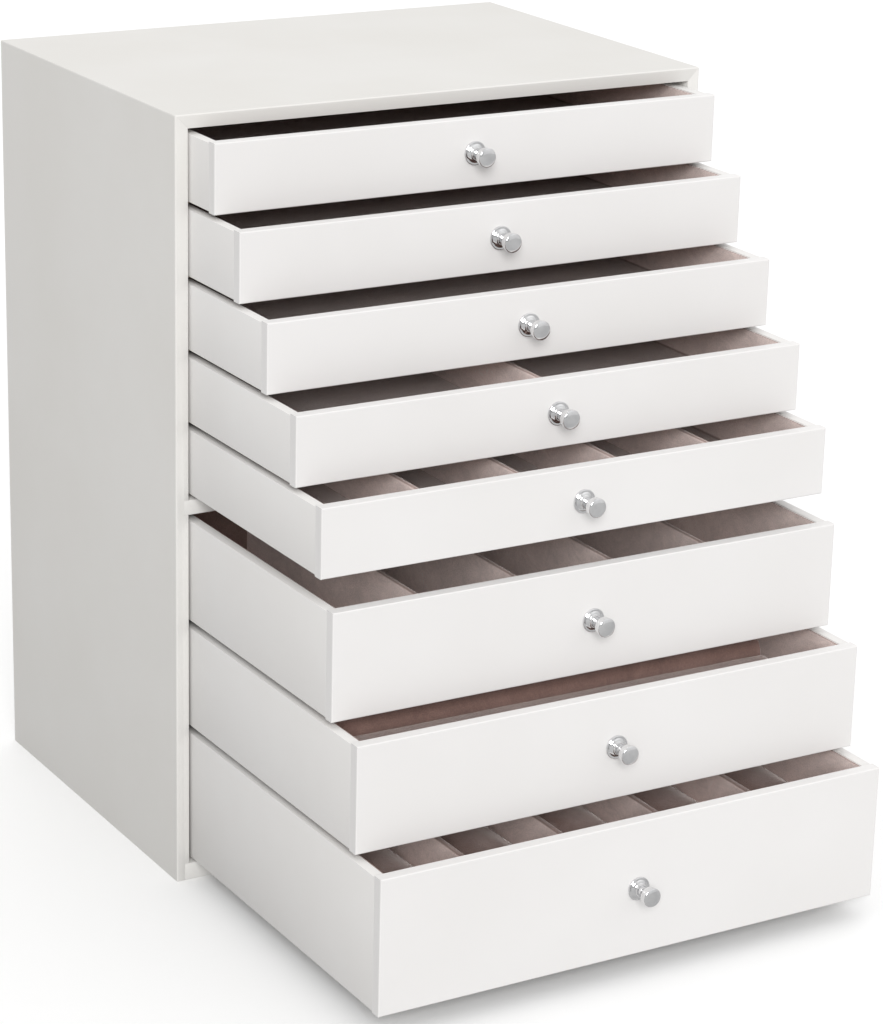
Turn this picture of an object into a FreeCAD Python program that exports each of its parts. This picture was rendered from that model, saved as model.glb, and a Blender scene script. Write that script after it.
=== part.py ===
import FreeCAD, Part
import os
import re
import Sketcher

# Jewelry cabinet: a mitred white case with eight inset drawers, drawn out in a staircase.
# Millimetres, +Z up, front towards -Y, +X to the right, origin at the centre of the case's underside.
os.makedirs("parts", exist_ok=True)
doc = FreeCAD.newDocument("jewelry_cabinet")
sheet = doc.addObject("Spreadsheet::Sheet", "sizes")
sums = doc.addObject("Spreadsheet::Sheet", "sums")

# Driving dimensions: name, value in millimetres or a count, and what it measures
SIZES = (
    ("case_width", 400, "case, outside, left to right"),
    ("case_depth", 280, "case, outside, front to back"),
    ("case_height", 530, "case, outside, floor to top"),
    ("board", 9, "thickness of the top and of both sides"),
    ("bottom_board", 12, "thickness of the bottom board"),
    ("shelf_board", 10, "thickness of the shelf between drawers five and six"),
    ("back_board", 3, "thickness of the back panel"),
    ("rabbet", 5, "how far the back panel laps the boards round it"),
    ("dado", 3, "depth of the grooves in the sides"),
    ("ease", 1, "rounding of the case's outer edges"),
    ("gap_side", 1.5, "air between a drawer and the case, left and right"),
    ("gap_upper", 3, "air above each of the five shallow drawer fronts"),
    ("gap_lower", 3.5, "air above each of the three deeper drawer fronts"),
    ("gap_back", 1, "air between a closed drawer and the back panel"),
    ("low_front", 46, "height of drawer fronts one to five"),
    ("mid_front", 72, "height of drawer fronts six and seven"),
    ("deep_front", 93, "height of drawer front eight"),
    ("front_board", 8, "thickness of a drawer front"),
    ("front_ease", 0.8, "rounding of a drawer front's edges"),
    ("wall_board", 7, "thickness of a drawer's side and back walls"),
    ("wall_drop", 1, "a wall's top edge below the front's top edge"),
    ("wall_lift", 1, "a wall's lower edge above the front's lower edge"),
    ("tray_board", 3, "thickness of a drawer's bottom"),
    ("tray_lift", 3, "drawer bottom above the wall's lower edge"),
    ("tray_groove", 3, "depth of the groove that holds the drawer bottom"),
    ("lining", 1.5, "thickness of the velvet lining"),
    ("lining_drop", 1, "lining's edge below the wall's top edge"),
    ("runner_high", 2.5, "thickness of a runner strip"),
    ("runner_proud", 6, "how far a runner stands out of the side"),
    ("runner_play", 0.2, "air between a runner and the wall above it"),
    ("runner_set", 1, "runner's front end behind a closed drawer front"),
    ("divider", 4, "thickness of a divider in drawers four, five and six"),
    ("deep_divider", 5, "thickness of a divider in drawer eight"),
    ("divider_drop_4", 5, "divider's top below the front's top, drawer four"),
    ("divider_drop_5", 5, "divider's top below the front's top, drawer five"),
    ("divider_drop_6", 12, "divider's top below the front's top, drawer six"),
    ("divider_drop_8", 15, "divider's top below the front's top, drawer eight"),
    ("roll_count", 10, "ring rolls behind the low front pad"),
    ("roll_thick", 20.4, "thickness of a ring roll, and twice its top radius"),
    ("roll_flat", 0.05, "half the flat left along the crown of a ring roll"),
    ("roll_gap", 0.4, "slit between two ring rolls"),
    ("roll_drop", 8, "crown of a roll below the front's top, drawer seven"),
    ("pad_drop", 18, "front pad's top below the front's top, drawer seven"),
    ("pad_deep", 46.4, "front pad, front to back"),
    ("roll_spare", 28, "free space beside the rolls at their right end"),
    ("soft_gap", 0.6, "air between a soft insert and the lining"),
    ("roll_round", 2, "rounding of a roll's end edges"),
    ("cushion_edge", 53, "height of a watch cushion along its edges"),
    ("cushion_crown", 6, "rise of a watch cushion's crown"),
    ("cushion_pull", 2.4, "how far a cushion's sides draw in at its corners"),
    ("cushion_taper", 19, "how much narrower a cushion grows as its height falls to nothing"),
    ("knob_flange", 8, "radius of the knob's base"),
    ("knob_neck", 3.7, "radius of the knob's neck"),
    ("knob_button", 6.4, "radius of the knob's end"),
    ("knob_dome", 4.5, "radius where the knob's end turns into its shallow dome"),
    ("knob_length", 17.8, "how far the knob stands out of the front"),
    ("flange_high", 1.5, "height of the base's rim"),
    ("neck_start", 3.6, "where the base's slope meets the neck"),
    ("neck_end", 8.9, "where the neck starts to flare"),
    ("button_start", 12.8, "where the flare reaches the button"),
    ("button_end", 16, "where the button's side ends"),
    ("dome_start", 17.3, "where the shallow dome starts"),
    ("flange_round", 1, "rounding of the base's rim"),
    ("foot_round", 2, "rounding where the base meets the neck"),
    ("flare_round", 3, "rounding where the neck flares"),
    ("button_round", 0.9, "rounding of the button's rear edge"),
    ("rim_round", 1, "rounding of the button's front edge"),
    ("screw_radius", 1.95, "radius of the knob's screw"),
    ("screw_play", 0.1, "air round the screw"),
    ("screw_depth", 9.2, "length of screw inside the knob"),
    ("bore_spare", 1, "empty end of the knob's bore beyond the screw"),
    ("head_radius", 4, "radius of the screw's head"),
    ("head_high", 2.4, "height of the screw's head"),
    ("head_sink", 3, "depth of the recess for the screw's head"),
    ("out_1", 35, "drawer one drawn out"),
    ("out_2", 70, "drawer two drawn out"),
    ("out_3", 108, "drawer three drawn out"),
    ("out_4", 147, "drawer four drawn out"),
    ("out_5", 181, "drawer five drawn out"),
    ("out_6", 197, "drawer six drawn out"),
    ("out_7", 230, "drawer seven drawn out"),
    ("out_8", 262, "drawer eight drawn out"),
)
for row, (name, number, meaning) in enumerate(SIZES, start=1):
    sheet.set(f"A{row}", name)
    sheet.set(f"B{row}", str(number))
    sheet.set(f"C{row}", meaning)
    sheet.setAlias(f"B{row}", name)
doc.recompute()

VALUES = {name: float(number) for name, number, meaning in SIZES}
TINY = 1e-6
NEAR = 0.01
LEAST_CUT = 1.0
SHALLOW = 5
DEEPEST = 8
DRAWERS = range(1, DEEPEST + 1)
RINGS_IN = 7
WATCHES_IN = DEEPEST
THIN_DIVIDERS = 4
DEEP_DIVIDERS = 4
# How full a watch cushion is near each end, as shares of its length and of its height
CUSHION_ENDS = ((0.0, 0.86), (0.02, 0.94), (0.07, 0.99), (0.2, 1.0))
SIDES = (("left", -1), ("right", 1))
nodes = []


def cells(text):
    """Names the sheet before each of its words: case_width / 2 becomes sizes.case_width / 2."""
    return re.sub(r"([a-z][a-z_0-9]*)", r"sizes.\1", text)


def number(text):
    """What an expression of sheet names comes to, worked out in a cell of the second sheet."""
    sums.set("A1", "=" + cells(text))
    sums.recompute()
    return float(sums.get("A1"))


def bind(thing, property_name, text):
    """Ties a property to an expression of sheet names."""
    thing.setExpression(property_name, cells(text))


def keep(thing, label):
    """Marks a finished sub-part: its label is its file's name."""
    thing.Label = label
    nodes.append(thing)
    return thing


def block(name, low, size):
    """A box from its low corner and its size, each three expressions."""
    box = doc.addObject("Part::Box", name)
    for axis, text in zip("xyz", low):
        bind(box, f"Placement.Base.{axis}", text)
    for edge, text in zip(("Length", "Width", "Height"), size):
        bind(box, edge, text)
    return box


def joined(name, members):
    """Separate solids of one sub-part, side by side."""
    group = doc.addObject("Part::Compound", name)
    group.Links = members
    return group


def cut(name, base, tools):
    """The base with every tool taken out of it."""
    result = doc.addObject("Part::Cut", name)
    result.Base = base
    result.Tool = tools[0] if len(tools) == 1 else joined(f"{name}_tools", tools)
    return result


def origin_plane(body, role):
    """One of a body's own planes, such as XY_Plane."""
    return next(item for item in body.Origin.OriginFeatures if item.Role == role)


def new_body(name):
    """An empty body to sketch in."""
    return doc.addObject("PartDesign::Body", name)


def polygon(body, name, role, corners):
    """A closed sketch whose corners sit at expressions of the sheet."""
    sketch = body.newObject("Sketcher::SketchObject", name)
    sketch.AttachmentSupport = [(origin_plane(body, role), "")]
    sketch.MapMode = "FlatFace"
    places = [(number(across), number(up)) for across, up in corners]
    count = len(corners)
    for index, (across, up) in enumerate(places):
        after = places[(index + 1) % count]
        start = FreeCAD.Vector(across, up, 0)
        end = FreeCAD.Vector(after[0], after[1], 0)
        sketch.addGeometry(Part.LineSegment(start, end), False)
    for index in range(count):
        sketch.addConstraint(Sketcher.Constraint("Coincident", index, 2, (index + 1) % count, 1))
    for index, texts in enumerate(corners):
        for kind, axis, text, place in zip(("DistanceX", "DistanceY"), (-2, -1), texts, places[index]):
            if abs(place) < TINY:
                sketch.addConstraint(Sketcher.Constraint("PointOnObject", index, 1, axis))
                continue
            label = f"{kind.lower()}_{index}"
            which = sketch.addConstraint(Sketcher.Constraint(kind, -1, 1, index, 1, place))
            sketch.renameConstraint(which, label)
            bind(sketch, f"Constraints.{label}", text)
    return sketch


def rectangle(low_x, high_x, low_y, high_y):
    """The four corners of a rectangle, counter-clockwise."""
    return ((low_x, low_y), (high_x, low_y), (high_x, high_y), (low_x, high_y))


def pad(body, sketch, length, middle=False, backwards=False):
    """Pulls a sketch into a solid."""
    feature = body.newObject("PartDesign::Pad", f"{sketch.Name}_pad")
    feature.Profile = sketch
    feature.Midplane = middle
    feature.Reversed = backwards
    bind(feature, "Length", length)
    doc.recompute()
    return feature


def pocket(body, sketch, length):
    """Cuts a sketch into the body and makes sure that something came out."""
    doc.recompute()
    before = body.Shape.Volume
    feature = body.newObject("PartDesign::Pocket", f"{sketch.Name}_pocket")
    feature.Profile = sketch
    feature.Midplane = True
    bind(feature, "Length", length)
    body.Tip = feature
    doc.recompute()
    if before - body.Shape.Volume < LEAST_CUT:
        raise RuntimeError(f"{feature.Name} cuts nothing")
    return feature


def round_edges(body, name, size, wanted):
    """Fillets the edges of a body that wanted() picks."""
    doc.recompute()
    tip = body.Tip
    picked = [f"Edge{i}" for i, edge in enumerate(tip.Shape.Edges, start=1) if wanted(edge)]
    if not picked:
        raise RuntimeError(f"{name} finds no edge to round")
    fillet = body.newObject("PartDesign::Fillet", name)
    fillet.Base = (tip, picked)
    bind(fillet, "Radius", size)
    body.Tip = fillet
    doc.recompute()
    return fillet


# Places shared by several pieces
INNER = "case_width / 2 - board"
BOX_HALF = "case_width / 2 - board - gap_side"
DRAWER_LONG = "case_depth - back_board - gap_back"
SHELF_TOP = f"case_height - board - {SHALLOW} * (gap_upper + low_front) - gap_upper"


def front_high(k):
    """Height of a drawer's front."""
    if k <= SHALLOW:
        return "low_front"
    return "mid_front" if k < DEEPEST else "deep_front"


def foot(k):
    """Height of the lower edge of a drawer's front."""
    if k <= SHALLOW:
        return f"case_height - board - {k} * (gap_upper + low_front)"
    under_shelf = f"{SHELF_TOP} - shelf_board"
    middling = min(k, DEEPEST - 1) - SHALLOW
    text = f"{under_shelf} - {middling} * (gap_lower + mid_front)"
    return text if k < DEEPEST else f"{text} - gap_lower - deep_front"


def face(k):
    """Where a drawer front's outer face stands along Y."""
    return f"0 - case_depth / 2 - out_{k}"


def wall_foot(k):
    """Height of the lower edge of a drawer's walls."""
    return f"{foot(k)} + wall_lift"


def wall_high(k):
    """Height of a drawer's walls."""
    return f"{front_high(k)} - wall_drop - wall_lift"


def floor_top(k):
    """Top of the lining on a drawer's bottom."""
    return f"{wall_foot(k)} + tray_lift + tray_board + lining"


# The case


def eased_case():
    """The case's outer block with its upright and top edges rounded."""
    low = ("0 - case_width / 2", "0 - case_depth / 2", "0")
    whole = block("case_block", low, ("case_width", "case_depth", "case_height"))
    doc.recompute()
    eased = doc.addObject("Part::Fillet", "case_block_eased")
    eased.Base = whole
    size = VALUES["ease"]
    edges = enumerate(whole.Shape.Edges, start=1)
    eased.Edges = [(index, size, size) for index, edge in edges if edge.BoundBox.ZMax > TINY]
    return eased


def within(name, blank, outer):
    """The part of a blank that lies inside the eased block."""
    result = doc.addObject("Part::Common", name)
    result.Base = blank
    result.Tool = outer
    return result


def runner(k, side, sign):
    """A strip that stands out of the side under a drawer's wall."""
    low_x = f"{INNER} - runner_proud" if sign > 0 else f"0 - ({INNER}) - dado"
    low_y = "0 - case_depth / 2 + front_board + runner_set"
    low_z = f"{wall_foot(k)} - runner_play - runner_high"
    long = "case_depth - front_board - runner_set - back_board"
    return block(f"runner_{side}_{k}", (low_x, low_y, low_z), ("runner_proud + dado", long, "runner_high"))


def case():
    """Top, sides, bottom, back, shelf and the runner strips."""
    outer = eased_case()
    recess_half = f"({INNER} + rabbet)"
    recess_low = ("0 - " + recess_half, "case_depth / 2 - back_board", "bottom_board - rabbet")
    recess_high = "case_height - board - bottom_board + 2 * rabbet"
    recess = block("back_recess", recess_low, ("2 * " + recess_half, "2 * back_board", recess_high))
    back = block("back_board_piece", recess_low, ("2 * " + recess_half, "back_board", recess_high))
    keep(back, "back_panel")

    bottom_low = (f"0 - ({INNER}) - dado", "0 - case_depth / 2", "0")
    bottom = block("bottom_blank", bottom_low, (f"2 * ({INNER} + dado)", "case_depth", "bottom_board"))
    keep(cut("bottom_cut", bottom, [recess]), "bottom_panel")

    shelf_low = (f"0 - ({INNER}) - dado", "0 - case_depth / 2", f"{SHELF_TOP} - shelf_board")
    shelf_size = (f"2 * ({INNER} + dado)", "case_depth - back_board", "shelf_board")
    shelf = block("shelf_piece", shelf_low, shelf_size)
    keep(shelf, "middle_shelf")

    strips = {side: [runner(k, side, sign) for k in DRAWERS] for side, sign in SIDES}
    keep(joined("runner_group", strips["left"] + strips["right"]), "drawer_runners")

    top_body = new_body("top_body")
    low = "case_height - board"
    corners = (
        ("0 - case_width / 2", "case_height"),
        (f"0 - ({INNER})", low),
        (INNER, low),
        ("case_width / 2", "case_height"),
    )
    pad(top_body, polygon(top_body, "top_profile", "XZ_Plane", corners), "case_depth", middle=True)
    keep(cut("top_cut", within("top_eased", top_body, outer), [recess]), "top_panel")

    for side, sign in SIDES:
        body = new_body(f"{side}_body")
        outside = f"{sign} * case_width / 2"
        inside = f"{sign} * ({INNER})"
        corners = ((outside, "0"), (inside, "0"), (inside, low), (outside, "case_height"))
        pad(body, polygon(body, f"{side}_profile", "XZ_Plane", corners), "case_depth", middle=True)
        eased = within(f"{side}_eased", body, outer)
        tools = [recess, bottom, shelf] + strips[side]
        keep(cut(f"{side}_cut", eased, tools), f"{side}_side")


# The drawers


def drawer_front(k):
    """The front panel: eased edges, a groove for the bottom and a stepped hole for the knob's screw."""
    body = new_body(f"front_{k}_body")
    bind(body, "Placement.Base.y", face(k))
    bind(body, "Placement.Base.z", foot(k))
    outline = rectangle(f"0 - ({BOX_HALF})", BOX_HALF, "0", front_high(k))
    pad(body, polygon(body, f"front_{k}_outline", "XZ_Plane", outline), "front_board", backwards=True)
    thick = VALUES["front_board"]

    def outer(edge):
        return edge.BoundBox.YMax < thick / 2

    round_edges(body, f"front_{k}_ease", "front_ease", outer)

    groove_low = "wall_lift + tray_lift"
    reach = f"{BOX_HALF} - wall_board + tray_groove"
    groove = polygon(
        body,
        f"front_{k}_groove",
        "YZ_Plane",
        rectangle("front_board - tray_groove", "2 * front_board", groove_low, f"{groove_low} + tray_board"),
    )
    pocket(body, groove, f"2 * ({reach})")

    drill = body.newObject("Sketcher::SketchObject", f"front_{k}_drill")
    drill.AttachmentSupport = [(origin_plane(body, "XZ_Plane"), "")]
    drill.MapMode = "FlatFace"
    drill.AttachmentOffset = FreeCAD.Placement(FreeCAD.Vector(0, 0, -thick), FreeCAD.Rotation())
    middle = number(f"{front_high(k)} / 2")
    drill.addGeometry(Part.Circle(FreeCAD.Vector(0, middle, 0), FreeCAD.Vector(0, 0, 1), 1), False)
    drill.addConstraint(Sketcher.Constraint("PointOnObject", 0, 3, -2))
    which = drill.addConstraint(Sketcher.Constraint("DistanceY", -1, 1, 0, 3, middle))
    drill.renameConstraint(which, "middle")
    bind(drill, "Constraints.middle", f"{front_high(k)} / 2")
    doc.recompute()
    before = body.Shape.Volume
    hole = body.newObject("PartDesign::Hole", f"front_{k}_hole")
    hole.Profile = drill
    body.Tip = hole
    doc.recompute()
    hole.DepthType = "ThroughAll"
    hole.HoleCutType = "Counterbore"
    hole.HoleCutCustomValues = True
    bind(hole, "Diameter", "2 * (screw_radius + screw_play)")
    bind(hole, "HoleCutDiameter", "2 * (head_radius + 3 * screw_play)")
    bind(hole, "HoleCutDepth", "head_sink")
    hole.Reversed = True
    doc.recompute()
    if before - body.Shape.Volume < LEAST_CUT:
        raise RuntimeError(f"{hole.Name} cuts nothing")
    return keep(body, f"drawer_{k}_front")


def drawer_bottom(k):
    """The thin board that sits in the grooves of the front and the walls."""
    half = f"({BOX_HALF} - wall_board + tray_groove)"
    low = (f"0 - {half}", f"{face(k)} + front_board - tray_groove", f"{wall_foot(k)} + tray_lift")
    long = f"{DRAWER_LONG} - front_board - wall_board + 2 * tray_groove"
    return keep(block(f"bottom_{k}_piece", low, (f"2 * {half}", long, "tray_board")), f"drawer_{k}_bottom")


def drawer_walls(k, bottom):
    """Two side walls and a back wall, grooved for the bottom."""
    start = f"{face(k)} + front_board"
    long = f"{DRAWER_LONG} - front_board"
    low_z = wall_foot(k)
    high = wall_high(k)
    pieces = []
    for side, sign in SIDES:
        low_x = f"{BOX_HALF} - wall_board" if sign > 0 else f"0 - ({BOX_HALF})"
        pieces.append(block(f"wall_{side}_{k}", (low_x, start, low_z), ("wall_board", long, high)))
    back_low = (f"wall_board - ({BOX_HALF})", f"{face(k)} + {DRAWER_LONG} - wall_board", low_z)
    back_size = (f"2 * ({BOX_HALF} - wall_board)", "wall_board", high)
    pieces.append(block(f"wall_back_{k}", back_low, back_size))
    grooved = [cut(f"{piece.Name}_grooved", piece, [bottom]) for piece in pieces]
    return keep(joined(f"walls_{k}_group", grooved), f"drawer_{k}_walls")


def drawer_lining(k):
    """A thin open tray of velvet on the bottom and up the walls."""
    half = f"({BOX_HALF} - wall_board)"
    low_y = f"{face(k)} + front_board"
    low_z = f"{wall_foot(k)} + tray_lift + tray_board"
    long = f"({DRAWER_LONG} - front_board - wall_board)"
    high = f"{wall_high(k)} - tray_lift - tray_board - lining_drop"
    outside = block(f"lining_{k}_outside", (f"0 - {half}", low_y, low_z), (f"2 * {half}", long, high))
    inside = block(
        f"lining_{k}_inside",
        (f"lining - {half}", f"{low_y} + lining", f"{low_z} + lining"),
        (f"2 * {half} - 2 * lining", f"{long} - 2 * lining", high),
    )
    return keep(cut(f"lining_{k}_cut", outside, [inside]), f"drawer_{k}_lining")


def turned(body, name, corners):
    """Spins a profile about the vertical axis of its sketch."""
    sketch = polygon(body, f"{name}_profile", "XY_Plane", corners)
    spun = body.newObject("PartDesign::Revolution", f"{name}_turned")
    spun.Profile = sketch
    spun.ReferenceAxis = (sketch, ["V_Axis"])
    spun.Angle = 360
    body.Tip = spun
    doc.recompute()


def drawer_knob(k):
    """A turned knob and the screw that holds it through the front."""
    body = new_body(f"knob_{k}_body")
    bore = "screw_radius + screw_play"
    bore_end = "screw_depth + bore_spare"
    corners = (
        (bore, "0"),
        ("knob_flange", "0"),
        ("knob_flange", "flange_high"),
        ("knob_neck", "neck_start"),
        ("knob_neck", "neck_end"),
        ("knob_button", "button_start"),
        ("knob_button", "button_end"),
        ("knob_dome", "dome_start"),
        ("0", "knob_length"),
        ("0", bore_end),
        (bore, bore_end),
    )
    turned(body, f"knob_{k}", corners)
    rounds = (
        ("knob_flange", "flange_high", "flange_round"),
        ("knob_neck", "neck_start", "foot_round"),
        ("knob_neck", "neck_end", "flare_round"),
        ("knob_button", "button_start", "button_round"),
        ("knob_button", "button_end", "rim_round"),
    )
    for radius, along, size in rounds:
        want_radius = VALUES[radius]
        want_along = VALUES[along]

        def ring(edge, want_radius=want_radius, want_along=want_along):
            curve = edge.Curve
            if not isinstance(curve, Part.Circle):
                return False
            here = abs(curve.Center.y - want_along) < NEAR
            return here and abs(curve.Radius - want_radius) < NEAR

        round_edges(body, f"knob_{k}_{size}", size, ring)

    screw = new_body(f"screw_{k}_body")
    head_start = "head_sink - front_board"
    screw_corners = (
        ("0", "screw_depth"),
        ("screw_radius", "screw_depth"),
        ("screw_radius", head_start),
        ("head_radius", head_start),
        ("head_radius", f"{head_start} - head_high"),
        ("0", f"{head_start} - head_high"),
    )
    turned(screw, f"screw_{k}", screw_corners)

    pair = joined(f"knob_{k}_group", [body, screw])
    pair.Placement.Rotation = FreeCAD.Rotation(FreeCAD.Vector(1, 0, 0), 180)
    bind(pair, "Placement.Base.y", face(k))
    bind(pair, "Placement.Base.z", f"{foot(k)} + {front_high(k)} / 2")
    return keep(pair, f"drawer_{k}_knob")


# What stands inside the drawers


def dividers(k, count, thick):
    """Upright velvet boards that share a drawer's width evenly."""
    half = f"({BOX_HALF} - wall_board - lining)"
    long = f"{DRAWER_LONG} - front_board - wall_board - 2 * lining"
    high = f"{foot(k)} + {front_high(k)} - divider_drop_{k} - ({floor_top(k)})"
    share = f"((2 * {half} - {count} * {thick}) / {count + 1})"
    pieces = []
    for index in range(count):
        low_x = f"0 - {half} + {index + 1} * {share} + {index} * {thick}"
        low = (low_x, f"{face(k)} + front_board + lining", floor_top(k))
        pieces.append(block(f"divider_{k}_{index + 1}", low, (thick, long, high)))
    return keep(joined(f"dividers_{k}_group", pieces), f"drawer_{k}_dividers")


def ring_rolls():
    """Velvet bars with round tops, side by side, behind a lower flat pad."""
    k = RINGS_IN
    left = f"0 - ({BOX_HALF} - wall_board - lining - soft_gap)"
    long = f"2 * ({BOX_HALF} - wall_board - lining) - soft_gap - roll_spare"
    start = f"{face(k)} + front_board + lining + soft_gap"
    floor = floor_top(k)
    top = f"({foot(k)} + {front_high(k)})"
    pieces = []
    pad_size = (long, "pad_deep", f"{top} - pad_drop - ({floor})")
    pad_block = block("ring_pad_block", (left, start, floor), pad_size)
    doc.recompute()
    pieces.append(eased_ends("ring_pad", pad_block))
    for index in range(int(VALUES["roll_count"])):
        body = new_body(f"roll_{index + 1}_body")
        pitch = "(roll_thick + roll_gap)"
        bind(body, "Placement.Base.x", left)
        bind(body, "Placement.Base.y", f"{start} + pad_deep + roll_gap + {index} * {pitch}")
        bind(body, "Placement.Base.z", floor)
        high = f"{top} - roll_drop - ({floor})"
        outline = rectangle("0", "roll_thick", "0", high)
        pad(body, polygon(body, f"roll_{index + 1}_outline", "YZ_Plane", outline), long)
        crown = number(high) - NEAR
        end_edge = VALUES["roll_thick"] + NEAR

        def long_top(edge, crown=crown):
            return edge.BoundBox.ZMin > crown and edge.BoundBox.XLength > end_edge

        round_edges(body, f"roll_{index + 1}_crown", "roll_thick / 2 - roll_flat", long_top)
        pieces.append(body)
    return keep(joined("ring_rolls_group", pieces), "drawer_7_ring_rolls")


def eased_ends(name, piece):
    """A soft block with its upper edges rounded."""
    eased = doc.addObject("Part::Fillet", name)
    eased.Base = piece
    top = piece.Shape.BoundBox.ZMax - TINY
    size = VALUES["roll_round"]
    edges = enumerate(piece.Shape.Edges, start=1)
    eased.Edges = [(index, size, size) for index, edge in edges if edge.BoundBox.ZMin > top]
    return eased


def cushion_section(half, edge_high, crown_high, pull, along):
    """A cushion's cross-section: flat below, bowed sides and a crowned top, all lines and shallow arcs."""
    low_right = FreeCAD.Vector(half - pull, along, 0)
    low_left = FreeCAD.Vector(pull - half, along, 0)
    high_right = FreeCAD.Vector(half - pull, along, edge_high)
    high_left = FreeCAD.Vector(pull - half, along, edge_high)
    right = FreeCAD.Vector(half, along, edge_high / 2)
    left = FreeCAD.Vector(-half, along, edge_high / 2)
    top = FreeCAD.Vector(0, along, crown_high)
    edges = [
        Part.LineSegment(low_left, low_right).toShape(),
        Part.Arc(low_right, right, high_right).toShape(),
        Part.Arc(high_right, top, high_left).toShape(),
        Part.Arc(high_left, left, low_left).toShape(),
    ]
    return Part.Wire(edges)


def watch_cushions():
    """Five long crowned cushions, one in each bay of drawer eight."""
    k = WATCHES_IN
    half_inside = number(f"{BOX_HALF} - wall_board - lining")
    thick = VALUES["deep_divider"]
    bay = (2 * half_inside - DEEP_DIVIDERS * thick) / (DEEP_DIVIDERS + 1)
    gap = VALUES["soft_gap"]
    half = bay / 2 - gap
    long = number(f"{DRAWER_LONG} - front_board - wall_board - 2 * lining") - 2 * gap
    edge_high = VALUES["cushion_edge"]
    crown_high = edge_high + VALUES["cushion_crown"]
    pull = VALUES["cushion_pull"]
    stations = list(CUSHION_ENDS) + [(1 - where, full) for where, full in reversed(CUSHION_ENDS)]
    sections = []
    for where, full in stations:
        narrow = VALUES["cushion_taper"] * (1 - full)
        section = cushion_section(half - narrow, edge_high * full, crown_high * full, pull, where * long)
        sections.append(section)
    cushion = Part.makeLoft(sections, True, True)
    copies = []
    for index in range(DEEP_DIVIDERS + 1):
        copy = cushion.copy()
        copy.translate(FreeCAD.Vector(-half_inside + bay / 2 + index * (bay + thick), 0, 0))
        copies.append(copy)
    thing = doc.addObject("Part::Feature", "cushion_group")
    thing.Shape = Part.makeCompound(copies)
    start = number(f"{face(k)} + front_board + lining") + gap
    thing.Placement = FreeCAD.Placement(FreeCAD.Vector(0, start, number(floor_top(k))), FreeCAD.Rotation())
    return keep(thing, "drawer_8_watch_cushions")


case()
for k in DRAWERS:
    drawer_front(k)
    drawer_walls(k, drawer_bottom(k))
    drawer_lining(k)
    drawer_knob(k)
dividers(4, 1, "divider")
dividers(5, THIN_DIVIDERS, "divider")
dividers(6, THIN_DIVIDERS, "divider")
ring_rolls()
dividers(WATCHES_IN, DEEP_DIVIDERS, "deep_divider")
watch_cushions()
doc.recompute()

for thing in doc.Objects:
    if "Invalid" in thing.State or "Error" in thing.State:
        raise RuntimeError(f"{thing.Name} failed: {thing.State}")
for node in nodes:
    if node.Shape.isNull() or not node.Shape.isValid():
        raise RuntimeError(f"{node.Label} has no valid shape")
for node in nodes:
    node.Shape.exportStep(f"parts/{node.Label}.step")
    print(node.Label, len(node.Shape.Solids), "solids", round(node.Shape.Volume / 1000, 1), "cm3")
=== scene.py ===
import logging
import math
from dataclasses import dataclass
from enum import Enum
from typing import Callable, Iterable, Optional, Sequence

import bmesh
import bpy
from mathutils import Matrix, Vector, noise


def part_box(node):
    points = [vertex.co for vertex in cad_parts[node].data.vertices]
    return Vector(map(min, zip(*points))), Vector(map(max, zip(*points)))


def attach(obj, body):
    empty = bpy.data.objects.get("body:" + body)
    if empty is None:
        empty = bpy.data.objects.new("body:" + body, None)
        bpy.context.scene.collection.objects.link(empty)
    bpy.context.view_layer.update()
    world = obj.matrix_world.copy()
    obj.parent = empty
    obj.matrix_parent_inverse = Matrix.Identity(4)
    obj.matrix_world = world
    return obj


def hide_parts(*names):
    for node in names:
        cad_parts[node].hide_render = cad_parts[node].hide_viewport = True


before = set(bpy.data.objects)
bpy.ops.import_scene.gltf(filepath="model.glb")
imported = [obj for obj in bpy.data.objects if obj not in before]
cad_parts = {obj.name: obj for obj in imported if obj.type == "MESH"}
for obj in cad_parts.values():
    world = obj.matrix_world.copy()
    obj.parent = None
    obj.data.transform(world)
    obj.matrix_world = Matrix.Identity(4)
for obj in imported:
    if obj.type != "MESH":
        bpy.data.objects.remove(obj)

MM = 0.001
DRAWERS = range(1, 9)
DIVIDED = (4, 5, 6, 8)
RINGS_IN = 7
WATCHES_IN = 8
MERGE_WITHIN = 0.00001
SPIN_MERGE = 0.000004
FLAT_ANGLE = math.radians(1)
SHARP_ANGLE = math.radians(60)
NOISE_SPAN = (0.3, 0.7)
IMAGE_LONG_SIDE = 1024
SENSOR_WIDE = 36.0

Triple = tuple[float, float, float]
Colour = Triple
Span = tuple[float, float]

log = logging.getLogger("jewelry_cabinet")


class Slot(Enum):
    """The record's material slots that pieces take their finish from."""

    LACQUER = "white_lacquer"
    BOARD = "pale_board"
    RUNNER = "runner_wood"
    VELVET = "velvet"
    CHROME = "bright_chrome"


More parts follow.
